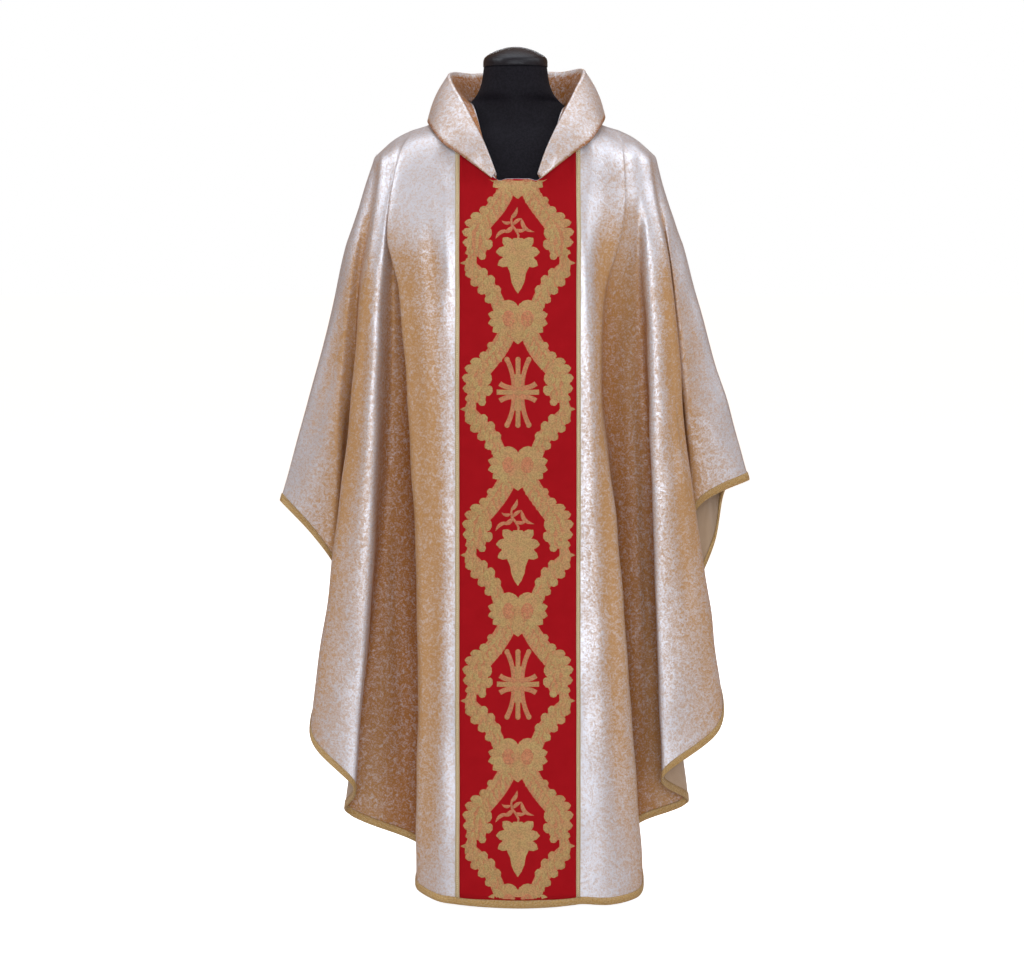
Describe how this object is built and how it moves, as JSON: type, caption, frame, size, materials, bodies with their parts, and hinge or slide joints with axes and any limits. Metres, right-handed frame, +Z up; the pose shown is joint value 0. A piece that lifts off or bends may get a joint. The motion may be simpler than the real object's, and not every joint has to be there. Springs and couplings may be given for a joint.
{
  "type": "chasuble on a limbless dress form with a round floor stand",
  "caption": "Full, floor-length church vestment of brocade with a turned-down collar and a red front orphrey, draped on a black limbless dress form on a round stand.",
  "frame": {"origin": "centre of the round base's underside, on the dress form's upright axis", "axes": "+Z up along the stand's pole, the garment's front faces -Y, +X is to the left of the wearer"},
  "size_m": [0.8121, 0.4098, 1.4404],
  "materials": {
    "brocade": "silver and tan brocade with a soft metallic sheen",
    "orphrey_velvet": "deep red cloth woven with gold leaf and vine medallions",
    "gold_braid": "pale gold woven braid",
    "form_cover": "black jersey cover",
    "stand_metal": "satin black powder coat"
  },
  "bodies": {
    "root": {"front": "brocade", "back": "brocade", "collar": "brocade", "front_orphrey": "orphrey_velvet", "orphrey_braid_left": "gold_braid", "orphrey_braid_right": "gold_braid", "front_hem_binding": "gold_braid", "back_hem_binding": "gold_braid", "form_torso": "form_cover", "form_neck_cap": "form_cover", "form_pole": "stand_metal", "form_base": "stand_metal"}
  },
  "joints": []
}
